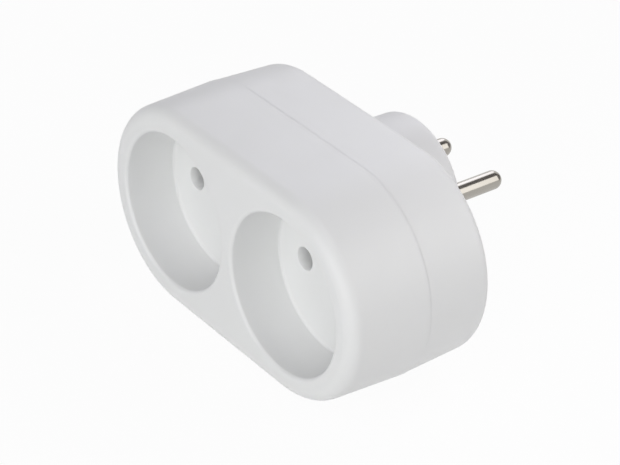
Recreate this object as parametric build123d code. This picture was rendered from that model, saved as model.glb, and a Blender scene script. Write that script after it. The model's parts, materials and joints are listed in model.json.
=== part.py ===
from build123d import *
import math
import os

# A two-way plug-in adaptor for round two-pin plugs: a stadium-shaped moulded body in two
# shells, two round wells side by side at the front, and a round plug boss with two bare
# pins at the back. Millimetres. The origin is the centre of the plug boss's end face,
# +Y runs along the pins towards the wall, +X along the long side and +Z up.

# Two-pin system
pin_spacing = 19.0
pin_diameter = 4.8
pin_length = 19.0
well_diameter = 39.3
well_depth = 13.75
pin_hole_diameter = 5.4

# Outside of the body
socket_pitch = 43.5
body_width = 53.3
front_depth = 21.8
front_draft = 2.5
rear_draft = 2.2
front_edge_radius = 3.5
rear_edge_radius = 2.2
well_rim_radius = 0.9
well_corner_radius = 0.6
pin_hole_rim_radius = 0.6
seam_step = 0.1
seam_chamfer = 0.15

# Plug boss
boss_diameter = 36.7
boss_length = 16.0
boss_edge_radius = 1.3
boss_foot_radius = 0.5
boss_wall = 2.2
boss_end_wall = 3.0

# Walls of the shells and their lip joint
skin_wall = 2.3
front_wall = 2.4
rear_wall = 2.5
cup_wall = 1.9
well_floor_wall = 3.8
centre_rib = 2.5
lip_inset = 1.3
lip_height = 2.0
lip_clearance = 0.1

# Plug pins
pin_shank_diameter = 5.2
pin_shank_length = 9.0
pin_collar_diameter = 7.0
pin_collar_height = 1.0
pin_tail_diameter = 3.2
pin_head_diameter = 4.8
pin_head_height = 1.0
sleeve_wall = 2.2
sleeve_clearance = 0.03
boss_rib = 1.5
boss_rib_height = 5.0

# Busbars
bar_thickness = 0.8
bar_width = 5.0
bar_offset = 8.0
bar_corner_radius = 0.8
bar_bend_radius = 1.3
tab_width = 7.0
leg_width = 6.0
foot_overhang = 3.2
bar_end_length = 3.6

# Spring contacts, their steel clips and rivets
contact_thickness = 0.5
contact_width = 6.0
contact_throat = 4.3
contact_mouth = 6.6
contact_base = 6.0
throat_height = 9.0
throat_length = 3.0
mouth_length = 3.0
throat_bend_radius = 1.5
base_bend_radius = 0.8
clip_thickness = 0.5
clip_height = 2.4
clip_gap = 1.8
clip_bend_radius = 0.5
rivet_diameter = 2.4
rivet_head_diameter = 3.8
rivet_head_height = 0.8
rivet_tail_diameter = 3.4
rivet_tail_height = 0.7
rivet_clearance = 0.05
pin_tip_clearance = 0.7

# Contact chambers behind the pin holes
chamber_clearance = 0.3
chamber_wall = 1.2
chamber_length = 11.7

# Cradles and pegs for the busbars
cradle_height = 1.85
cradle_thickness = 1.2
cradle_wall = 1.0
cradle_lip = 1.4
cradle_clearance = 0.1
cradle_spacing = 8.5
cradle_end_inset = 1.75
peg_diameter = 2.0
peg_height = 0.9

# Closing screws and the tubes and posts that hold them
screw_inset = 9.2
screw_angle = 49.0
screw_diameter = 2.9
screw_reach = 8.0
screw_tip_length = 1.5
screw_head_diameter = 5.6
screw_head_height = 2.0
screw_head_edge_radius = 0.7
screw_recess_depth = 5.0
screw_recess_clearance = 0.5
screw_clearance = 0.25
screw_post_clearance = 0.05
screw_tube_wall = 1.4
screw_post_wall = 2.1
screw_post_length = 10.1
screw_post_gap = 0.1
screw_post_end_room = 1.0
cross_length = 3.2
cross_width = 0.8
cross_depth = 1.2
cross_draft = 12.0

# Depths along Y, from the plug face towards the front. The body is as deep as the stack in it:
# rear wall, cradles, busbar, contact, rivet head, the plugged-in pin, and the well.
plug_face = 0.0
rear_face = plug_face - boss_length
rear_inner = rear_face - rear_wall
bar_back = rear_inner - cradle_height
bar_front = bar_back - bar_thickness
contact_front = bar_front - contact_thickness
pin_reach = contact_front - rivet_head_height - pin_tip_clearance
well_floor = pin_reach - pin_length
front_face = well_floor - well_depth
seam = front_face + front_depth
rear_depth = rear_face - seam
floor_back = well_floor + well_floor_wall
boss_end_back = plug_face - boss_end_wall
collar_back = plug_face - pin_shank_length - pin_collar_height
foot_front = collar_back - bar_thickness
chamber_end = floor_back + chamber_length
clip_middle = contact_front - throat_height - throat_length / 2
screw_seat = rear_face - screw_recess_depth
post_end = floor_back + screw_post_length
tube_end = post_end + screw_post_gap
screw_tip = tube_end - screw_reach

# Places across the body, as (x, z)
well_places = [(-socket_pitch / 2, 0), (socket_pitch / 2, 0)]
pin_places = [(-pin_spacing / 2, 0), (pin_spacing / 2, 0)]
hole_places = [
    (well_x + side * pin_spacing / 2, 0)
    for well_x, _ in well_places
    for side in (-1, 1)
]
screw_ring = body_width / 2 - screw_inset
screw_x = socket_pitch / 2 + screw_ring * math.cos(math.radians(screw_angle))
screw_z = screw_ring * math.sin(math.radians(screw_angle))
screw_places = [(screw_x, screw_z), (-screw_x, -screw_z)]

# The left pole's busbar, seen across the body; the right pole's is the same piece turned half round
bar_contacts = (hole_places[0][0], hole_places[2][0])
bar_start = bar_contacts[0] - tab_width / 2
bar_end = bar_contacts[1] + tab_width / 2 + bar_end_length
bar_middle = bar_offset + bar_width / 2
peg_place = (well_places[0][0], bar_middle)
cradle_places = (
    peg_place[0] - cradle_spacing / 2,
    peg_place[0] + cradle_spacing / 2,
    bar_end - cradle_end_inset,
)
turned = Rotation(0, 180, 0)


def across(y):
    """Plane across the pins at depth y: u is +X, v is +Z, and its normal faces the front."""
    return Plane(origin=(0, y, 0), x_dir=(1, 0, 0), z_dir=(0, -1, 0))


def bar(section, start, end):
    """Section drawn across the pins, carried along Y from depth start to depth end."""
    return extrude(across(start) * section, amount=start - end, dir=(0, -1, 0))


def round_bar(place, diameter, start, end):
    """Round bar along Y at place (x, z)."""
    return bar(Pos(*place) * Circle(diameter / 2), start, end)


def drafted_stadium(width, start, depth, draft, towards_front):
    """Stadium-shaped block that narrows with its draft from depth start onwards."""
    direction = (0, -1 if towards_front else 1, 0)
    base = Plane(origin=(0, start, 0), x_dir=(1, 0, 0), z_dir=direction)
    return extrude(base * SlotCenterToCenter(socket_pitch, width), amount=depth, taper=draft)


def face_edges(solid, last):
    """Outline of the solid's flat face nearest the front, or the wall where last is set."""
    return solid.faces().sort_by(Axis.Y)[-1 if last else 0].outer_wire().edges()


def turned_part(profile, place):
    """Part turned about Y from a closed profile of (radius, y), set at place (x, z)."""
    return Pos(place[0], 0, place[1]) * revolve(make_face(profile), Axis.Y)


def recess(place, diameter, mouth, depth, rim, corner=0.0):
    """Round recess from depth mouth towards the wall, with a rounded rim and inner corner."""
    radius = diameter / 2
    bottom = mouth + depth
    rounded_rim = RadiusArc((radius + rim, mouth), (radius, mouth + rim), rim)
    side = Line((radius, mouth + rim), (radius, bottom - corner))
    closing = Polyline((0, bottom), (0, mouth - rim), (radius + rim, mouth - rim), (radius + rim, mouth))
    if corner > 0:
        rounded_corner = RadiusArc((radius, bottom - corner), (radius - corner, bottom), -corner)
        side = side + rounded_corner
    profile = rounded_rim + side + Line((radius - corner, bottom), (0, bottom)) + closing
    return turned_part(profile, place)


def bent_sheet(points, bends, thickness):
    """Closed outline of a bent sheet: one face follows the points, the other lies to its right."""
    line = FilletPolyline(*points, radius=bends)
    return Face(Wire(line.edges()).offset_2d(thickness, side=Side.RIGHT, closed=True))


def side_strip(outline, x, width):
    """Bent sheet drawn as (z, y), carried across its width about the place x."""
    side = Plane(origin=(x, 0, 0), x_dir=(0, 0, 1), z_dir=(-1, 0, 0))
    return extrude(side * outline, amount=width / 2, both=True)


def contact_chamber(x):
    """Square tube on the back of a well's floor that guides one spring contact."""
    inside = contact_width + 2 * (clip_bend_radius + clip_thickness + chamber_clearance)
    outside = inside + 2 * chamber_wall
    return bar(Pos(x, 0) * (Rectangle(outside, outside) - Rectangle(inside, inside)), floor_back, chamber_end)


def front_shell():
    """Front moulding: drafted skin, two well cups with pin holes, chambers and screw posts."""
    skin = drafted_stadium(body_width, seam, front_depth, front_draft, True)
    skin = fillet(face_edges(skin, False), front_edge_radius)
    skin = chamfer(face_edges(skin, True), seam_chamfer)
    inner_width = body_width - 2 * skin_wall
    shell = skin - drafted_stadium(inner_width, seam, front_depth - front_wall, front_draft, True)
    lip_width = body_width - 2 * (lip_inset - lip_clearance)
    shell -= bar(SlotCenterToCenter(socket_pitch, lip_width), seam, seam - lip_height - lip_clearance)

    cup_start = front_face + front_wall / 2
    cup_diameter = well_diameter + 2 * cup_wall
    cups = Rectangle(centre_rib, inner_width - front_wall)
    for place in well_places:
        cups += Pos(*place) * Circle(cup_diameter / 2)
    shell += bar(cups, cup_start, floor_back)
    for place in hole_places:
        shell += contact_chamber(place[0])
    for place in screw_places:
        shell += round_bar(place, screw_diameter + 2 * screw_post_wall, floor_back, post_end)

    for place in well_places:
        shell -= recess(place, well_diameter, front_face, well_depth, well_rim_radius, well_corner_radius)
    for place in hole_places:
        shell -= recess(place, pin_hole_diameter, well_floor, 2 * well_floor_wall, pin_hole_rim_radius)
    for place in screw_places:
        pilot_end = screw_tip - screw_post_end_room
        shell -= round_bar(place, screw_diameter + 2 * screw_post_clearance, post_end, pilot_end)
    return shell


def busbar_cradle(x):
    """Rib across one busbar that carries it off the floor, with a lip at each edge."""
    width = bar_width + 2 * (cradle_clearance + cradle_wall)
    rib = bar(Pos(x, bar_middle) * Rectangle(cradle_thickness, width), rear_inner, bar_front - cradle_lip)
    slot = Pos(x, bar_middle) * Rectangle(2 * cradle_thickness, bar_width + 2 * cradle_clearance)
    return rib - bar(slot, bar_back, bar_front - 2 * cradle_lip)


def busbar_seats():
    """The cradles and the locating peg of one busbar, all on the rear moulding's floor."""
    seats = round_bar(peg_place, peg_diameter, rear_inner, bar_front - peg_height)
    for x in cradle_places:
        seats += busbar_cradle(x)
    return seats


def rear_shell():
    """Rear moulding: drafted skin, hollow plug boss, pin sleeves, cradles and screw tubes."""
    rear_width = body_width - 2 * seam_step
    skin = drafted_stadium(rear_width, seam, rear_depth, rear_draft, False)
    skin = fillet(face_edges(skin, True), rear_edge_radius)
    skin = chamfer(face_edges(skin, False), seam_chamfer)
    boss = round_bar((0, 0), boss_diameter, rear_face - rear_wall / 2, plug_face)
    boss = fillet(face_edges(boss, True), boss_edge_radius)
    body = skin + boss
    foot = [
        edge
        for edge in body.edges().filter_by(GeomType.CIRCLE)
        if abs(edge.radius - boss_diameter / 2) < 0.01 and abs(edge.center().Y - rear_face) < 0.01
    ]
    body = fillet(foot, boss_foot_radius)

    inner_width = body_width - 2 * skin_wall
    body -= drafted_stadium(inner_width, seam, rear_depth - rear_wall, rear_draft, False)
    boss_inside = boss_diameter - 2 * boss_wall
    body -= round_bar((0, 0), boss_inside, seam, boss_end_back)

    tongue = SlotCenterToCenter(socket_pitch, body_width - 2 * lip_inset)
    tongue -= SlotCenterToCenter(socket_pitch, inner_width)
    body += bar(tongue, seam, seam - lip_height)

    rib_start = boss_end_back - boss_rib_height
    inner_forms = bar(Rectangle(boss_inside, boss_rib), boss_end_back, rib_start)
    inner_forms += bar(Rectangle(boss_rib, boss_inside), boss_end_back, rear_inner)
    for place in pin_places:
        sleeve_diameter = pin_shank_diameter + 2 * sleeve_wall
        inner_forms += round_bar(place, sleeve_diameter, boss_end_back, plug_face - pin_shank_length)
    boss_core = round_bar((0, 0), boss_inside + boss_wall, seam, boss_end_back + boss_end_wall / 2)
    body += inner_forms & boss_core
    seats = busbar_seats()
    body += seats
    body += turned * seats
    for place in screw_places:
        tube_diameter = screw_head_diameter + 2 * (screw_recess_clearance + screw_tube_wall)
        body += round_bar(place, tube_diameter, rear_inner, tube_end)

    for place in pin_places:
        seat_diameter = pin_shank_diameter + 2 * sleeve_clearance
        body -= round_bar(place, seat_diameter, plug_face, plug_face - pin_shank_length)
    for place in screw_places:
        head_room = screw_head_diameter + 2 * screw_recess_clearance
        body -= round_bar(place, head_room, rear_face, screw_seat)
        body -= round_bar(place, screw_diameter + 2 * screw_clearance, screw_seat, tube_end)
    return body


def plug_pin(place):
    """Turned pin: round-ended bare stem, wider shank, collar, and a tail closed over the busbar."""
    stem = pin_diameter / 2
    shank = pin_shank_diameter / 2
    collar = pin_collar_diameter / 2
    tail = pin_tail_diameter / 2
    head = pin_head_diameter / 2
    shank_back = plug_face - pin_shank_length
    steps = Polyline(
        (0, foot_front - pin_head_height),
        (head, foot_front - pin_head_height),
        (head, foot_front),
        (tail, foot_front),
        (tail, collar_back),
        (collar, collar_back),
        (collar, shank_back),
        (shank, shank_back),
        (shank, plug_face),
        (stem, plug_face),
        (stem, plug_face + pin_length - stem),
    )
    tip = CenterArc((0, plug_face + pin_length - stem), stem, 0, 90)
    axis = Line((0, plug_face + pin_length), (0, foot_front - pin_head_height))
    return turned_part(steps + tip + axis, place)


def busbar():
    """Stamped strip with two contact tabs, and a leg bent down into the boss to its pin."""
    strip = Pos((bar_start + bar_end) / 2, bar_middle) * Rectangle(bar_end - bar_start, bar_width)
    tab_end = -contact_base / 2
    tab_length = bar_offset + bar_width - tab_end
    for x in bar_contacts:
        strip += Pos(x, tab_end + tab_length / 2) * Rectangle(tab_width, tab_length)
    strip = fillet(strip.vertices(), bar_corner_radius)
    blank = bar(strip, bar_back, bar_front)

    pin_x = pin_places[0][0]
    leg_line = [
        (bar_middle, bar_front),
        (bar_offset - bar_thickness, bar_front),
        (bar_offset - bar_thickness, foot_front),
        (-foot_overhang, foot_front),
    ]
    leg = side_strip(bent_sheet(leg_line, bar_bend_radius, bar_thickness), pin_x, leg_width)
    piece = blank + leg
    for x in bar_contacts:
        piece -= round_bar((x, 0), rivet_diameter + 2 * rivet_clearance, bar_back, bar_front)
    piece -= round_bar(peg_place, peg_diameter + 2 * cradle_clearance, bar_back, bar_front)
    tail_room = pin_tail_diameter + 2 * rivet_clearance
    return piece - round_bar((pin_x, 0), tail_room, collar_back, foot_front)


def spring_contact(x):
    """Folded clip whose two leaves close on a pin: flat base, narrow throat, flared mouth."""
    throat = contact_throat / 2
    throat_start = contact_front - throat_height
    throat_end = throat_start - throat_length
    leaf = [
        (contact_mouth / 2, throat_end - mouth_length),
        (throat, throat_end),
        (throat, throat_start),
        (contact_base / 2, contact_front),
    ]
    other_leaf = [(-z, y) for z, y in reversed(leaf)]
    half_bends = [throat_bend_radius, throat_bend_radius, base_bend_radius]
    outline = bent_sheet(leaf + other_leaf, half_bends + half_bends[::-1], contact_thickness)
    clip = side_strip(outline, x, contact_width)
    return clip - round_bar((x, 0), rivet_diameter + 2 * rivet_clearance, bar_front, contact_front)


def contact_clip(x):
    """Steel band round both leaves at the throat, open at one side, that presses them together."""
    half_width = contact_width / 2 + clip_bend_radius
    half_height = contact_throat / 2 + contact_thickness
    band = [
        (half_width, clip_gap / 2),
        (half_width, half_height),
        (-half_width, half_height),
        (-half_width, -half_height),
        (half_width, -half_height),
        (half_width, -clip_gap / 2),
    ]
    outline = bent_sheet(band, clip_bend_radius, clip_thickness)
    return bar(Pos(x, 0) * outline, clip_middle + clip_height / 2, clip_middle - clip_height / 2)


def contact_rivet(x):
    """Rivet through contact and busbar: domed head on the pin's side, closed tail behind."""
    shank = rivet_diameter / 2
    head = rivet_head_diameter / 2
    tail = rivet_tail_diameter / 2
    head_top = contact_front - rivet_head_height
    tail_end = bar_back + rivet_tail_height
    head_edge = contact_front - rivet_head_height / 4
    tail_edge = bar_back + rivet_tail_height / 4
    dome = TangentArc((0, head_top), (head, head_edge), tangent=(1, 0))
    side = Polyline(
        (head, head_edge),
        (head, contact_front),
        (shank, contact_front),
        (shank, bar_back),
        (tail, bar_back),
        (tail, tail_edge),
    )
    tail_dome = TangentArc((0, tail_end), (tail, tail_edge), tangent=(1, 0))
    axis = Line((0, tail_end), (0, head_top))
    return turned_part(dome + side + tail_dome + axis, (x, 0))


def closing_screw(place):
    """Pan-head screw with a cross recess; its stem runs through the rear tube into the post."""
    stem = screw_diameter / 2
    head = screw_head_diameter / 2
    head_top = screw_seat + screw_head_height
    round_edge = screw_head_edge_radius
    profile = Polyline(
        (0, screw_tip),
        (stem, screw_tip + screw_tip_length),
        (stem, screw_seat),
        (head, screw_seat),
        (head, head_top - round_edge),
    )
    profile += CenterArc((head - round_edge, head_top - round_edge), round_edge, 0, 90)
    profile += Polyline((head - round_edge, head_top), (0, head_top), (0, screw_tip))
    cross = Rectangle(cross_length, cross_width) + Rectangle(cross_width, cross_length)
    drive = extrude(
        Plane(origin=(place[0], head_top, place[1]), x_dir=(1, 0, 0), z_dir=(0, -1, 0)) * cross,
        amount=cross_depth,
        taper=cross_draft,
    )
    return turned_part(profile, place) - drive


def all_parts():
    """Every piece of the adaptor by its name."""
    parts = {
        "front_shell": front_shell(),
        "rear_shell": rear_shell(),
        "plug_pin_left": plug_pin(pin_places[0]),
        "plug_pin_right": plug_pin(pin_places[1]),
        "busbar_left": busbar(),
        "busbar_right": turned * busbar(),
    }
    contact_names = ("left_outer", "left_inner", "right_inner", "right_outer")
    for name, (x, _) in zip(contact_names, hole_places):
        parts["contact_" + name] = spring_contact(x)
        parts["contact_clip_" + name] = contact_clip(x)
        parts["contact_rivet_" + name] = contact_rivet(x)
    for name, place in zip(("upper", "lower"), screw_places):
        parts["closing_screw_" + name] = closing_screw(place)
    return parts


os.makedirs("parts", exist_ok=True)
for part_name, part in all_parts().items():
    export_step(part, os.path.join("parts", part_name + ".step"))
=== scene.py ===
import json

import bmesh
import bpy
import numpy as np
from mathutils import Matrix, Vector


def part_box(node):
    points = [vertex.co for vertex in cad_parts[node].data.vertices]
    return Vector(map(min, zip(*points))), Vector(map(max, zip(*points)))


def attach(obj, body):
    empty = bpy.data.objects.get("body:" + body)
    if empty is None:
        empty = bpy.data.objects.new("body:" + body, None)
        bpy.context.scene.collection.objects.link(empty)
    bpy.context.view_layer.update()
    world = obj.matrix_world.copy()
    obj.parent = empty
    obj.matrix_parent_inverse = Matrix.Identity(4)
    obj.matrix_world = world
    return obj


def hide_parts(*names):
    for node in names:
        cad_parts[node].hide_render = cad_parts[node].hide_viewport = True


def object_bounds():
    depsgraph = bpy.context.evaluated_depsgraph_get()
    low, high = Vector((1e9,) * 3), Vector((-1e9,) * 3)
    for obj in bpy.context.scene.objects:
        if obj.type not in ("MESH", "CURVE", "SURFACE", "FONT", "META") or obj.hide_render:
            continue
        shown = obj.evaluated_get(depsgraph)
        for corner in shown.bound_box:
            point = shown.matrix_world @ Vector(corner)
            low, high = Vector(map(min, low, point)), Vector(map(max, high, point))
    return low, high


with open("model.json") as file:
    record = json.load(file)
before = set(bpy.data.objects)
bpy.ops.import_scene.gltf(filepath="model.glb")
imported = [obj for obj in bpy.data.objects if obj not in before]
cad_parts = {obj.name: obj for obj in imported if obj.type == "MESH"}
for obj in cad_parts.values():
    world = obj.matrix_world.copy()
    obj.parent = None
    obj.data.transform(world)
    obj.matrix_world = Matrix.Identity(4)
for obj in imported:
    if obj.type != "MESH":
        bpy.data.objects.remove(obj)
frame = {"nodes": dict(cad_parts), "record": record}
cad_box = [list(corner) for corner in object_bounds()]

# Rear moulding
# The half of the housing that faces the wall: a drafted stadium skin with the hollow round plug
# boss, injection moulded in satin white plastic. Inside it carries the pin sleeves, the busbar
# cradles and the two screw tubes, and a tongue round its open edge enters the front moulding.
mm = 0.001
mounts = {mount["name"]: mount for mount in frame["record"]["mounts"]}
wells = [mounts["socket_well_left"]["pos_m"], mounts["socket_well_right"]["pos_m"]]
pins = [mounts["plug_pin_left_stem"]["pos_m"], mounts["plug_pin_right_stem"]["pos_m"]]
half_pitch = wells[1][0]
plug_face = mounts["plug_face"]["pos_m"][1]

tongue_height = 2.0 * mm
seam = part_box("rear_shell")[0].y + tongue_height
boss_length = 16.0 * mm
rear_wall = 2.5 * mm
rear_face = plug_face - boss_length
rear_inner = rear_face - rear_wall
rear_half_width = 26.55 * mm
rear_draft = np.radians(2.2)
rear_edge_radius = 2.2 * mm
seam_groove_depth = 0.115 * mm
seam_groove_length = 0.21 * mm
inner_half_width = 24.35 * mm
tongue_half_width = 25.35 * mm
boss_radius = 18.35 * mm
boss_edge_radius = 1.3 * mm
boss_foot_radius = 0.5 * mm
boss_bore_radius = 16.15 * mm
boss_face_wall = 3.0 * mm
boss_inner = plug_face - boss_face_wall

# Outline of the stadium: every point has a place along the spine and the direction it faces.
# Its bearing is the direction from the middle, so that a round ring lines up with it.
arc_steps = 96
side_steps = 16
half_turn = np.linspace(-np.pi / 2, np.pi / 2, arc_steps + 1)
along = np.linspace(1, -1, side_steps + 1)[1:-1]
arc_end = np.ones(arc_steps + 1)
side_facing = np.full(side_steps - 1, np.pi / 2)
spine = np.concatenate([arc_end, along, -arc_end, -along]) * half_pitch
facing = np.concatenate([half_turn, side_facing, half_turn + np.pi, -side_facing])
bearing = np.arctan2(rear_half_width * np.sin(facing), spine + rear_half_width * np.cos(facing))


def stadium_rings(profile):
    """Rings of a stadium: each (half width, y) of the profile is a disc of that half width swept
    along the spine, so a point is its spine place plus half width times its facing direction."""
    width, y = np.array(profile).T[:, :, None]
    x = spine + width * np.cos(facing)
    z = width * np.sin(facing)
    return np.stack([x, np.broadcast_to(y, x.shape), z], axis=-1)


def round_rings(profile, place=(0.0, 0.0), angles=None):
    """Rings of a turned form: each (radius, y) of the profile is a circle about place (x, z), with
    x = place + radius * cos(angle) and z = place + radius * sin(angle)."""
    if angles is None:
        angles = np.linspace(0, 2 * np.pi, 2 * arc_steps, endpoint=False)
    radius, y = np.array(profile).T[:, :, None]
    x = place[0] + radius * np.cos(angles)
    z = place[1] + radius * np.sin(angles)
    return np.stack([x, np.broadcast_to(y, x.shape), z], axis=-1)


def arc_profile(centre, radius, start, end, steps):
    """Points (radius, y) on an arc about centre, from angle start to end in degrees: centre plus
    radius times (cos, sin) of the angle."""
    turn = np.radians(np.linspace(start, end, steps + 1))
    return np.stack([centre[0] + radius * np.cos(turn), centre[1] + radius * np.sin(turn)], axis=-1)


def ring_stack(name, rings):
    """Closed mesh through a stack of rings (count, points, 3): four-sided faces join each ring to
    the next, and one flat face closes each end."""
    count, points = rings.shape[:2]
    here = np.arange(points)
    after = np.roll(here, -1)
    base = (np.arange(count - 1) * points)[:, None]
    corners = [base + here, base + after, base + points + after, base + points + here]
    sides = np.stack(corners, axis=-1).reshape(-1, 4).tolist()
    ends = [here[::-1].tolist(), (here + (count - 1) * points).tolist()]
    mesh = bpy.data.meshes.new(name)
    mesh.from_pydata(rings.reshape(-1, 3).tolist(), [], sides + ends)
    work = bmesh.new()
    work.from_mesh(mesh)
    bmesh.ops.recalc_face_normals(work, faces=work.faces)
    work.to_mesh(mesh)
    work.free()
    piece = bpy.data.objects.new(name, mesh)
    bpy.context.scene.collection.objects.link(piece)
    return piece


def block(name, x, y, z):
    """Rectangular block between two values on each axis, as a stack of two four-point rings."""
    corners = [(x[0], z[0]), (x[1], z[0]), (x[1], z[1]), (x[0], z[1])]
    return ring_stack(name, np.array([[(cx, depth, cz) for cx, cz in corners] for depth in y]))


def mould(piece, added, cut):
    """Joins the added forms to a piece, takes the cut forms out of it, and keeps the result."""
    for label, forms, operation in (("added", added, "UNION"), ("cut", cut, "DIFFERENCE")):
        group = bpy.data.collections.new(piece.name + "_" + label)
        for form in forms:
            group.objects.link(form)
        step = piece.modifiers.new(label, "BOOLEAN")
        step.operand_type = "COLLECTION"
        step.collection = group
        step.solver = "EXACT"
        step.operation = operation
    bpy.context.view_layer.update()
    worked_out = piece.evaluated_get(bpy.context.evaluated_depsgraph_get())
    finished = bpy.data.meshes.new_from_object(worked_out)
    piece.modifiers.clear()
    piece.data = finished
    for form in added + cut:
        bpy.data.objects.remove(form)


def smooth_faces(piece):
    """Smooth shading that stops at corners, with flat faces kept flat by their area."""
    corner_angle = np.radians(32)
    piece.data.shade_smooth()
    piece.data.set_sharp_from_angle(angle=corner_angle)
    even = piece.modifiers.new("even_normals", "WEIGHTED_NORMAL")
    even.weight = 100
    even.keep_sharp = True


def drafted_edge(half_width, open_edge, closed_face, draft, edge_radius):
    """Profile of a drafted wall, from its grooved open edge to its rounded closed face. The wall
    leans in by depth * tan(draft), and the rounding is an arc from the draft angle to 90 degrees."""
    direction = np.sign(closed_face - open_edge)
    depth = abs(closed_face - open_edge)
    centre_depth = depth - edge_radius
    centre_width = half_width - centre_depth * np.tan(draft) - edge_radius / np.cos(draft)
    rounded = arc_profile((centre_width, centre_depth), edge_radius, np.degrees(draft), 90, steps=14)
    groove = [(half_width - seam_groove_depth, 0),
              (half_width - seam_groove_length * np.tan(draft), seam_groove_length)]
    profile = np.concatenate([groove, rounded])
    profile[:, 1] = open_edge + direction * profile[:, 1]
    return profile


def cavity_edge(half_width, open_edge, floor, draft):
    """Profile of the inside of a drafted wall, from its open edge to its floor."""
    narrowed = half_width - abs(floor - open_edge) * np.tan(draft)
    return [(half_width, open_edge), (narrowed, floor)]


boss_edge_centre = (boss_radius - boss_edge_radius, plug_face - boss_edge_radius)
boss_foot_centre = (boss_radius + boss_foot_radius, rear_face + boss_foot_radius)
boss_outside = np.concatenate([
    arc_profile(boss_edge_centre, boss_edge_radius, 90, 0, steps=10),
    arc_profile(boss_foot_centre, boss_foot_radius, 180, 270, steps=6),
])
boss_bore = [(boss_bore_radius, rear_inner), (boss_bore_radius, boss_inner)]
rear_outside = drafted_edge(rear_half_width, seam, rear_face, rear_draft, rear_edge_radius)[::-1]
tongue = [(tongue_half_width, seam), (tongue_half_width, seam - tongue_height),
          (inner_half_width, seam - tongue_height)]
rear_moulding = ring_stack("rear_moulding", np.concatenate([
    round_rings(boss_outside, angles=bearing),
    stadium_rings(rear_outside),
    stadium_rings(tongue),
    stadium_rings(cavity_edge(inner_half_width, seam, rear_inner, rear_draft)),
    round_rings(boss_bore, angles=bearing),
]))

# Sleeves round the pins, with the seats bored through them. Each form reaches a little into what
# it joins or past what it cuts, by the overlap.
rear_added = []
rear_cut = []
overlap = 0.6 * mm
pin_sleeve_radius = 4.8 * mm
pin_seat_radius = 2.63 * mm
sleeve_end = plug_face - 9.0 * mm
for x, _, z in pins:
    sleeve = [(pin_sleeve_radius, boss_inner + overlap), (pin_sleeve_radius, sleeve_end)]
    seat = [(pin_seat_radius, plug_face + overlap), (pin_seat_radius, sleeve_end - overlap)]
    rear_added.append(ring_stack("sleeve", round_rings(sleeve, (x, z))))
    rear_cut.append(ring_stack("seat", round_rings(seat, (x, z))))

# Two crossed ribs that stiffen the hollow boss
rib_half = 0.75 * mm
rib_across = (-rib_half, rib_half)
rib_along = (-boss_bore_radius - overlap, boss_bore_radius + overlap)
rib_start = boss_inner + overlap
long_rib_end = boss_inner - 5.0 * mm
rear_added.append(block("long_rib", rib_along, (rib_start, long_rib_end), rib_across))
rear_added.append(block("cross_rib", rib_across, (rib_start, rear_inner), rib_along))

# Cradles with two lips that the busbars lie in, and a peg beside each busbar's end
bar_rise = 1.85 * mm
bar_thickness = 0.8 * mm
bar_width = 5.0 * mm
bar_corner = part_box("busbar_left")[1]
bar_back = rear_inner - bar_rise
bar_front = bar_back - bar_thickness
bar_edges = (bar_corner.z - bar_width, bar_corner.z)
bar_middle = sum(bar_edges) / 2
cradle_spread = 4.25 * mm
cradle_inset = 1.75 * mm
cradle_places = (-half_pitch - cradle_spread, -half_pitch + cradle_spread, bar_corner.x - cradle_inset)
cradle_half = 0.6 * mm
cradle_play = 0.1 * mm
cradle_wall = 1.0 * mm
cradle_top = bar_front - 1.4 * mm
cradle_foot = rear_inner + overlap
peg_radius = 1.0 * mm
peg_top = bar_front - 0.9 * mm
for side in (1, -1):
    for place in cradle_places:
        across = (side * place - cradle_half, side * place + cradle_half)
        inside = (bar_edges[0] - cradle_play, bar_edges[1] + cradle_play)
        outside = (inside[0] - cradle_wall, inside[1] + cradle_wall)
        whole = sorted((side * outside[0], side * outside[1]))
        rear_added.append(block("cradle", across, (cradle_foot, bar_back), whole))
        for inner, outer in zip(inside, outside):
            lip = sorted((side * inner, side * outer))
            rear_added.append(block("cradle_lip", across, (cradle_foot, cradle_top), lip))
    peg = [(peg_radius, cradle_foot), (peg_radius, peg_top)]
    rear_added.append(ring_stack("peg", round_rings(peg, (-side * half_pitch, side * bar_middle))))

# Tubes for the closing screws, each with a wide recess for the head and a bore for the shank
screw_names = ("closing_screw_upper", "closing_screw_lower")
screws = [(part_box(name)[0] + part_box(name)[1]) / 2 for name in screw_names]
screw_tube_radius = 4.7 * mm
screw_recess_radius = 3.3 * mm
screw_bore_radius = 1.7 * mm
screw_seat = rear_face - 5.0 * mm
screw_tube_end = seam + 5.95 * mm
for screw in screws:
    place = (screw.x, screw.z)
    tube = [(screw_tube_radius, rear_inner + overlap), (screw_tube_radius, screw_tube_end)]
    bore = [(screw_recess_radius, rear_face + overlap), (screw_recess_radius, screw_seat),
            (screw_bore_radius, screw_seat), (screw_bore_radius, screw_tube_end - overlap)]
    rear_added.append(ring_stack("screw_tube", round_rings(tube, place)))
    rear_cut.append(ring_stack("screw_bore", round_rings(bore, place)))
mould(rear_moulding, rear_added, rear_cut)
smooth_faces(rear_moulding)


def make_material(name):
    """New node material with its Principled shader and the object's own coordinates."""
    material = bpy.data.materials.new(name)
    material.use_nodes = True
    tree = material.node_tree
    shader = tree.nodes["Principled BSDF"]
    place = tree.nodes.new("ShaderNodeTexCoord").outputs["Object"]
    return material, tree, shader, place


def noise(tree, place, scale, detail, stretch=None):
    """Noise over the object's coordinates, in features per metre, optionally stretched by axis."""
    if stretch is not None:
        mapping = tree.nodes.new("ShaderNodeMapping")
        mapping.inputs["Scale"].default_value = stretch
        tree.links.new(place, mapping.inputs["Vector"])
        place = mapping.outputs["Vector"]
    texture = tree.nodes.new("ShaderNodeTexNoise")
    texture.inputs["Scale"].default_value = scale
    texture.inputs["Detail"].default_value = detail
    tree.links.new(place, texture.inputs["Vector"])
    return texture.outputs["Fac"]


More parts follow.
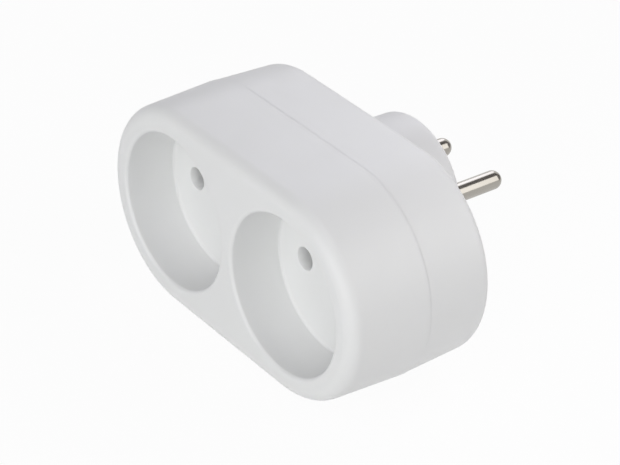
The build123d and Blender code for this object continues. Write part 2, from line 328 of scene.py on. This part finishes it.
# Nearly all of a noise's values lie between these two
noise_low = 0.3
noise_high = 0.7


def spread(tree, value, low, high):
    """Noise value carried onto the range from low to high."""
    ramp = tree.nodes.new("ShaderNodeMapRange")
    ramp.inputs["From Min"].default_value = noise_low
    ramp.inputs["From Max"].default_value = noise_high
    ramp.inputs["To Min"].default_value = low
    ramp.inputs["To Max"].default_value = high
    tree.links.new(value, ramp.inputs["Value"])
    return ramp.outputs["Result"]


def tint(tree, value, dark, light):
    """Colour that runs from dark to light with a noise value."""
    ramp = tree.nodes.new("ShaderNodeValToRGB")
    ramp.color_ramp.elements[0].position = noise_low
    ramp.color_ramp.elements[0].color = (*dark, 1)
    ramp.color_ramp.elements[1].position = noise_high
    ramp.color_ramp.elements[1].color = (*light, 1)
    tree.links.new(value, ramp.inputs["Fac"])
    return ramp.outputs["Color"]


def bump(tree, value, shader, height, under=None):
    """Surface relief of the given height in metres, on top of an optional relief under it."""
    relief = tree.nodes.new("ShaderNodeBump")
    relief.inputs["Strength"].default_value = 1.0
    relief.inputs["Distance"].default_value = height
    tree.links.new(value, relief.inputs["Height"])
    if under is not None:
        tree.links.new(under, relief.inputs["Normal"])
    tree.links.new(relief.outputs["Normal"], shader.inputs["Normal"])
    return relief.outputs["Normal"]


white_plastic, tree, shader, place = make_material("white_plastic")
flow_marks = noise(tree, place, scale=28.0, detail=3.0)
mould_grain = noise(tree, place, scale=5200.0, detail=2.0)
handling = noise(tree, place, scale=190.0, detail=4.0)
white = tint(tree, flow_marks, dark=(0.822, 0.826, 0.822), light=(0.840, 0.844, 0.842))
tree.links.new(white, shader.inputs["Base Color"])
tree.links.new(spread(tree, handling, low=0.40, high=0.47), shader.inputs["Roughness"])
shader.inputs["IOR"].default_value = 1.49
shader.inputs["Subsurface Weight"].default_value = 0.3
shader.inputs["Subsurface Radius"].default_value = (1.0, 1.0, 0.95)
shader.inputs["Subsurface Scale"].default_value = 0.0012
long_waves = bump(tree, handling, shader, height=0.004 * mm)
bump(tree, mould_grain, shader, height=0.0012 * mm, under=long_waves)

rear_moulding.data.materials.append(white_plastic)
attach(rear_moulding, "root")
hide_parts("rear_shell")

# Plug pins
# Two solid round pins, turned from brass bar and nickel plated, with round ends. The wide shank
# and its collar sit in the boss's sleeve, and the thin tail is closed over the busbar's foot.
stem_radius = mounts["plug_pin_left_stem"]["dims"]["r_mm"] * mm
pin_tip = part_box("plug_pin_left")[1].y
shank_radius = 2.6 * mm
collar_radius = 3.5 * mm
collar_height = 1.0 * mm
tail_radius = 1.6 * mm
tail_head_radius = 2.4 * mm
tail_head_height = 1.0 * mm
tiny = 0.01 * mm
collar_back = sleeve_end - collar_height
foot_front = collar_back - bar_thickness
tail_end = foot_front - tail_head_height

nickel, tree, shader, place = make_material("nickel_plate")
turning = noise(tree, place, scale=60.0, detail=3.0, stretch=(1.0, 160.0, 1.0))
polish = noise(tree, place, scale=420.0, detail=3.0, stretch=(1.0, 0.12, 1.0))
# Base colour far darker than real nickel: painted shade that stands in for the dim, shaded
# surroundings seen in the polished pins. The streaks along each pin are polish marks.
silver_with_painted_shade = tint(tree, polish, dark=(0.345, 0.325, 0.292), light=(0.43, 0.41, 0.377))
tree.links.new(silver_with_painted_shade, shader.inputs["Base Color"])
tree.links.new(spread(tree, polish, low=0.13, high=0.19), shader.inputs["Roughness"])
shader.inputs["Metallic"].default_value = 1.0
bump(tree, turning, shader, height=0.0012 * mm)

pin_profile = np.concatenate([
    [(tail_head_radius - tiny, tail_end), (tail_head_radius, tail_end + tiny),
     (tail_head_radius, foot_front), (tail_radius, foot_front), (tail_radius, collar_back),
     (collar_radius, collar_back), (collar_radius, sleeve_end), (shank_radius, sleeve_end),
     (shank_radius, plug_face), (stem_radius, plug_face)],
    arc_profile((0, pin_tip - stem_radius), stem_radius, 0, 89, steps=20),
])
for side, (x, _, z) in zip(("left", "right"), pins):
    pin = ring_stack("pin_" + side, round_rings(pin_profile, (x, z)))
    smooth_faces(pin)
    pin.data.materials.append(nickel)
    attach(pin, "root")
    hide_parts("plug_pin_" + side)

# Busbars
# Two identical strips stamped from bright brass sheet. Each joins one plug pin to one hole of
# each well, and lies in its cradles on the rear moulding's floor.
brass, tree, shader, place = make_material("rolled_brass")
rolling = noise(tree, place, scale=260.0, detail=4.0, stretch=(0.08, 1.0, 1.0))
tarnish = noise(tree, place, scale=75.0, detail=3.0)
yellow = tint(tree, tarnish, dark=(0.60, 0.40, 0.15), light=(0.72, 0.52, 0.22))
tree.links.new(yellow, shader.inputs["Base Color"])
tree.links.new(spread(tree, rolling, low=0.22, high=0.38), shader.inputs["Roughness"])
shader.inputs["Metallic"].default_value = 1.0
bump(tree, rolling, shader, height=0.003 * mm)
for side in ("left", "right"):
    frame["nodes"]["busbar_" + side].material_slots[0].material = brass

# Spring contacts
# Folded clips of phosphor bronze strip behind each pin hole. Their two leaves stand on the
# busbar's tabs and close on a plug's pin.
bronze, tree, shader, place = make_material("bronze_strip")
grain = noise(tree, place, scale=300.0, detail=4.0, stretch=(1.0, 0.06, 1.0))
heat = noise(tree, place, scale=140.0, detail=2.0)
copper_red = tint(tree, heat, dark=(0.50, 0.26, 0.12), light=(0.62, 0.36, 0.19))
tree.links.new(copper_red, shader.inputs["Base Color"])
tree.links.new(spread(tree, grain, low=0.25, high=0.40), shader.inputs["Roughness"])
shader.inputs["Metallic"].default_value = 1.0
bump(tree, grain, shader, height=0.002 * mm)
contact_places = ("left_outer", "left_inner", "right_inner", "right_outer")
for name in contact_places:
    frame["nodes"]["contact_" + name].material_slots[0].material = bronze

# Steel clips
# Open bands of blued spring steel pushed over the contacts' throats, which keep the leaves
# pressed together after many insertions.
blued_steel, tree, shader, place = make_material("blued_spring_steel")
strip_grain = noise(tree, place, scale=420.0, detail=4.0, stretch=(0.1, 1.0, 0.1))
temper = noise(tree, place, scale=320.0, detail=2.0)
grey_blue = tint(tree, temper, dark=(0.14, 0.16, 0.20), light=(0.25, 0.27, 0.31))
tree.links.new(grey_blue, shader.inputs["Base Color"])
tree.links.new(spread(tree, strip_grain, low=0.28, high=0.42), shader.inputs["Roughness"])
shader.inputs["Metallic"].default_value = 1.0
bump(tree, strip_grain, shader, height=0.002 * mm)
for name in contact_places:
    frame["nodes"]["contact_clip_" + name].material_slots[0].material = blued_steel

# Rivets
# Solid brass rivets that hold each contact's base flat on its busbar: a set head on the pin's
# side and a closed tail behind.
rivet_brass, tree, shader, place = make_material("tumbled_brass")
tumbling = noise(tree, place, scale=900.0, detail=4.0)
dull_yellow = tint(tree, tumbling, dark=(0.56, 0.40, 0.17), light=(0.68, 0.51, 0.25))
tree.links.new(dull_yellow, shader.inputs["Base Color"])
tree.links.new(spread(tree, tumbling, low=0.30, high=0.45), shader.inputs["Roughness"])
shader.inputs["Metallic"].default_value = 1.0
bump(tree, tumbling, shader, height=0.006 * mm)
for name in contact_places:
    frame["nodes"]["contact_rivet_" + name].material_slots[0].material = rivet_brass

# Front moulding
# The half that the plugs go into: a drafted stadium skin whose front face opens into two round
# wells, moulded in the same white plastic. Behind each pin hole stands a square chamber for a
# contact, a web joins the wells' cups, and two posts take the closing screws.
front_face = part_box("front_shell")[0].y
front_half_width = 26.65 * mm
front_draft = np.radians(2.5)
front_edge_radius = 3.5 * mm
front_wall = 2.4 * mm
front_inner = front_face + front_wall
rebate_half_width = 25.45 * mm
rebate_end = seam - 2.1 * mm
front_outside = drafted_edge(front_half_width, seam, front_face, front_draft, front_edge_radius)[::-1]
rebate = [(rebate_half_width, seam), (rebate_half_width, rebate_end)]
cavity_start = inner_half_width - (seam - rebate_end) * np.tan(front_draft)
front_cavity = cavity_edge(inner_half_width, seam, front_inner, front_draft)
front_cavity[0] = (cavity_start, rebate_end)
front_moulding = ring_stack("front_moulding", np.concatenate([
    stadium_rings(front_outside), stadium_rings(rebate), stadium_rings(front_cavity),
]))

front_added = []
front_cut = []
well_radius = mounts["socket_well_left"]["dims"]["r_mm"] * mm
well_rim_radius = 0.9 * mm
well_corner_radius = 0.6 * mm
well_narrowing = 0.24 * mm
well_depth = 13.75 * mm
well_floor_wall = 3.8 * mm
well_floor = front_face + well_depth
floor_back = well_floor + well_floor_wall
cup_wall = 1.9 * mm
cup_radius = well_radius + cup_wall
rim_start = 3.0  # degrees by which a rounded edge is already turned where it leaves its face


def well_profile(radius, mouth, bottom, rim, narrowing, corner):
    """Profile of a well: an arc for the rim that meets the face around it almost flat, a side that
    narrows in a straight line towards the floor, and an arc for the inner corner."""
    rounded_rim = arc_profile((radius + rim, mouth + rim), rim, 270 - rim_start, 180, steps=12)
    corner_centre = (radius - narrowing - corner, bottom - corner)
    rounded_corner = arc_profile(corner_centre, corner, 0, 90, steps=8)
    return np.concatenate([[(rounded_rim[0][0], mouth - rim)], rounded_rim, rounded_corner])


def lead_in_profile(radius, mouth, bottom, edge, lead, lead_turn):
    """Profile of a pin hole: a small rounded edge, then a wide arc that guides the pin in. Both
    arcs share a tangent, tilted by lead_turn degrees, and the wide one ends in a straight side."""
    turn = np.radians(lead_turn)
    meeting = (radius + lead * (1 - np.cos(turn)), mouth + edge * (1 - np.sin(turn)))
    edge_centre = (meeting[0] + edge * np.cos(turn), mouth + edge)
    guide_centre = (radius + lead, meeting[1] + lead * np.sin(turn))
    rounded_edge = arc_profile(edge_centre, edge, 270 - rim_start, 180 + lead_turn, steps=6)
    guide = arc_profile(guide_centre, lead, 180 + lead_turn, 180, steps=12)
    return np.concatenate([[(rounded_edge[0][0], mouth - edge)], rounded_edge, guide[1:],
                           [(radius, bottom)]])


for x, _, z in wells:
    cup = [(cup_radius, front_inner - overlap), (cup_radius, floor_back)]
    well = well_profile(well_radius, front_face, well_floor, well_rim_radius, well_narrowing,
                        well_corner_radius)
    front_added.append(ring_stack("cup", round_rings(cup, (x, z))))
    front_cut.append(ring_stack("well", round_rings(well, (x, z))))
web_reach = inner_half_width - 1.2 * mm
web_half = 1.25 * mm
web_depths = (front_inner - overlap, floor_back)
front_added.append(block("web", (-web_half, web_half), web_depths, (-web_reach, web_reach)))

# Pin holes, and the chambers behind them that hold the contacts
hole_radius = 2.45 * mm
hole_edge_radius = 0.25 * mm
hole_lead_radius = 6.0 * mm
hole_lead_turn = 21.0
chamber_inside = 4.3 * mm
chamber_outside = 5.5 * mm
chamber_end = floor_back + 11.7 * mm
for name in contact_places:
    x, _, z = mounts["pin_hole_" + name]["pos_m"]
    hole = lead_in_profile(hole_radius, well_floor, floor_back + overlap, hole_edge_radius,
                           hole_lead_radius, hole_lead_turn)
    outer_depths = (floor_back - overlap, chamber_end)
    inner_depths = (floor_back, chamber_end + overlap)
    outer_walls = [(x - chamber_outside, x + chamber_outside), (-chamber_outside, chamber_outside)]
    inner_walls = [(x - chamber_inside, x + chamber_inside), (-chamber_inside, chamber_inside)]
    front_cut.append(ring_stack("pin_hole", round_rings(hole, (x, z))))
    front_added.append(block("chamber", outer_walls[0], outer_depths, outer_walls[1]))
    front_cut.append(block("chamber_inside", inner_walls[0], inner_depths, inner_walls[1]))

# Posts for the closing screws, which end just inside the rear moulding's tubes
post_radius = 3.55 * mm
pilot_radius = 1.5 * mm
post_end = screw_tube_end - 0.1 * mm
pilot_end = screw_tube_end - 9.0 * mm
for screw in screws:
    place = (screw.x, screw.z)
    post = [(post_radius, floor_back - overlap), (post_radius, post_end)]
    pilot = [(pilot_radius, pilot_end), (pilot_radius, post_end + overlap)]
    front_added.append(ring_stack("post", round_rings(post, place)))
    front_cut.append(ring_stack("pilot", round_rings(pilot, place)))
mould(front_moulding, front_added, front_cut)
smooth_faces(front_moulding)
front_moulding.data.materials.append(white_plastic)
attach(front_moulding, "root")
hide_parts("front_shell")

# Closing screws
# Two zinc-plated pan-head screws with a cross recess, sunk in the rear face. They pass through
# the rear tubes and cut their thread in the front moulding's posts.
zinc, tree, shader, place = make_material("zinc_plate")
plating = noise(tree, place, scale=700.0, detail=3.0)
pale_grey = tint(tree, plating, dark=(0.52, 0.53, 0.55), light=(0.66, 0.67, 0.68))
tree.links.new(pale_grey, shader.inputs["Base Color"])
tree.links.new(spread(tree, plating, low=0.24, high=0.36), shader.inputs["Roughness"])
shader.inputs["Metallic"].default_value = 1.0
bump(tree, plating, shader, height=0.003 * mm)
for name in screw_names:
    frame["nodes"][name].material_slots[0].material = zinc

# Floor and surround
# A plain pale floor under the part and a plain surround. Both look white to the camera and in
# polished metal, but light the part only softly, and the floor keeps the part's shadow.


def seen_directly(tree):
    """Value that is 1 for rays from the camera, from polished metal and through glass, and 0 for
    the rays that carry light onto a matt surface: the highest of the three ray kinds."""
    rays = tree.nodes.new("ShaderNodeLightPath")
    value = rays.outputs["Is Camera Ray"]
    for kind in ("Is Glossy Ray", "Is Transmission Ray"):
        highest = tree.nodes.new("ShaderNodeMath")
        highest.operation = "MAXIMUM"
        tree.links.new(value, highest.inputs[0])
        tree.links.new(rays.outputs[kind], highest.inputs[1])
        value = highest.outputs[0]
    return value


def blend_shaders(tree, share, first, second, output):
    """Sends the first shader to the output, with the second one laid over it by its share."""
    blend = tree.nodes.new("ShaderNodeMixShader")
    tree.links.new(share, blend.inputs["Fac"])
    tree.links.new(first.outputs[0], blend.inputs[1])
    tree.links.new(second.outputs[0], blend.inputs[2])
    tree.links.new(blend.outputs[0], tree.nodes[output].inputs["Surface"])


def flat_sheet(name, corners, material):
    """Flat four-cornered sheet of the studio, with its corners in metres."""
    mesh = bpy.data.meshes.new(name)
    mesh.from_pydata(corners, [], [(0, 1, 2, 3)])
    mesh.materials.append(material)
    sheet = bpy.data.objects.new(name, mesh)
    bpy.context.scene.collection.objects.link(sheet)
    return sheet


floor_level = cad_box[0][2]
floor_half = 4.0
floor_paint = bpy.data.materials.new("floor_paint")
floor_paint.use_nodes = True
tree = floor_paint.node_tree
shader = tree.nodes["Principled BSDF"]
shader.inputs["Base Color"].default_value = (0.9, 0.9, 0.9, 1)
shader.inputs["Roughness"].default_value = 0.9
shader.inputs["Specular IOR Level"].default_value = 0.0
glow = tree.nodes.new("ShaderNodeEmission")
glow.inputs["Strength"].default_value = 1.0
whitened = tree.nodes.new("ShaderNodeMath")
whitened.operation = "MULTIPLY"
whitened.inputs[1].default_value = 0.95
tree.links.new(seen_directly(tree), whitened.inputs[0])
blend_shaders(tree, whitened.outputs[0], shader, glow, "Material Output")
flat_sheet("floor", [(-floor_half, -floor_half, floor_level), (floor_half, -floor_half, floor_level),
                     (floor_half, floor_half, floor_level), (-floor_half, floor_half, floor_level)],
           floor_paint)

world = bpy.data.worlds.new("studio")
world.use_nodes = True
bpy.context.scene.world = world
tree = world.node_tree
surround = tree.nodes["Background"]
surround.inputs["Color"].default_value = (1, 1, 1, 1)
surround.inputs["Strength"].default_value = 0.2
backdrop = tree.nodes.new("ShaderNodeBackground")
backdrop.inputs["Color"].default_value = (1, 1, 1, 1)
backdrop.inputs["Strength"].default_value = 1.0
blend_shaders(tree, seen_directly(tree), surround, backdrop, "World Output")

# Lamps and cards
# Square soft lamps: three from the front and above, one from each side behind, and a small one
# over the plug boss. Two grey cards out of view give the polished pins their dark streaks.
part_middle = np.array([0.0, -25.0, 0.0]) * mm


def turned_matrix(direction, up_hint):
    """Matrix columns for something at the origin that looks along direction, with up near up_hint:
    right is direction x up_hint, and up is right x direction."""
    forward = np.array(direction, float) / np.linalg.norm(direction)
    right = np.cross(forward, up_hint)
    right /= np.linalg.norm(right)
    up = np.cross(right, forward)
    return np.stack([right, up, -forward], axis=1)


def place_facing(thing, position, axes):
    """Sets a lamp or the camera at position with the given axes."""
    matrix = np.eye(4)
    matrix[:3, :3] = axes
    matrix[:3, 3] = position
    thing.matrix_world = Matrix(matrix.tolist())


def soft_lamp(name, azimuth, elevation, distance, size, power, colour):
    """Square soft lamp seen from the part at azimuth and elevation (degrees), aimed at it, with
    its distance and size in metres and its power in watts."""
    turn, lift = np.radians([azimuth, elevation])
    direction = np.array([np.sin(turn) * np.cos(lift), -np.cos(turn) * np.cos(lift), np.sin(lift)])
    data = bpy.data.lights.new(name, "AREA")
    data.shape = "SQUARE"
    data.size = size
    data.energy = power
    data.color = colour
    lamp = bpy.data.objects.new(name, data)
    bpy.context.scene.collection.objects.link(lamp)
    place_facing(lamp, part_middle + direction * distance, turned_matrix(-direction, (0, 0.01, 1)))
    return lamp


soft_lamp("front_lamp", 0, 12, distance=1.6, size=1.0, power=5.7, colour=(0.985, 1.0, 0.99))
soft_lamp("key_lamp", 35, 15, distance=1.6, size=1.0, power=9.1, colour=(0.99, 1.0, 0.992))
soft_lamp("front_top_lamp", 20, 60, distance=1.6, size=1.0, power=3.0, colour=(0.945, 0.915, 1.0))
soft_lamp("rear_right_lamp", 127, 30, distance=1.2, size=0.94, power=3.3, colour=(1.0, 0.985, 0.97))
soft_lamp("rear_left_lamp", -130, 35.5, distance=1.2, size=0.6, power=1.95, colour=(0.875, 0.885, 1.0))
boss_lamp = soft_lamp("boss_lamp", 155, 50, distance=0.15, size=0.06, power=0.044,
                      colour=(0.98, 0.965, 1.0))
boss_lamp.visible_camera = False
boss_lamp.visible_glossy = False

card_paint = bpy.data.materials.new("card_paint")
card_paint.use_nodes = True
card_shader = card_paint.node_tree.nodes["Principled BSDF"]
card_shader.inputs["Base Color"].default_value = (0.45, 0.43, 0.43, 1)
card_shader.inputs["Roughness"].default_value = 0.9
high_card = flat_sheet("high_card", [(-0.24, 0.25, 0.72), (-0.24, 1.3, 0.72), (0.30, 1.3, 0.72),
                                     (0.30, 0.25, 0.72)], card_paint)
rear_card = flat_sheet("rear_card", [(-0.06, 0.35, floor_level), (0.25, 0.35, floor_level),
                                     (0.25, 0.35, 0.24), (-0.06, 0.35, 0.24)], card_paint)
high_card.visible_camera = False
rear_card.visible_camera = False

# Camera
# A long lens about 0.6 m away, above and to the right of the front, tilted a little to one side.
# Its azimuth, elevation and roll, target and lens are fitted to the photograph's outline.
view_azimuth, view_elevation, view_roll = np.radians([52.103, 31.960, 1.883])
view_distance = 610.6 * mm
view_target = np.array([-10.271, -23.35, -11.124]) * mm
sensor_width = 36.0
lens = 146.43
look = np.array([-np.sin(view_azimuth) * np.cos(view_elevation),
                 np.cos(view_azimuth) * np.cos(view_elevation), -np.sin(view_elevation)])
level = turned_matrix(look, (0, 0, 1))
roll = np.array([[np.cos(view_roll), -np.sin(view_roll), 0],
                 [np.sin(view_roll), np.cos(view_roll), 0], [0, 0, 1]])
camera_data = bpy.data.cameras.new("camera")
camera_data.sensor_width = sensor_width
camera_data.lens = lens
camera_data.clip_start = 0.01
camera = bpy.data.objects.new("camera", camera_data)
bpy.context.scene.collection.objects.link(camera)
place_facing(camera, view_target - look * view_distance, level @ roll)
bpy.context.scene.camera = camera
bpy.context.scene.view_settings.view_transform = "Standard"
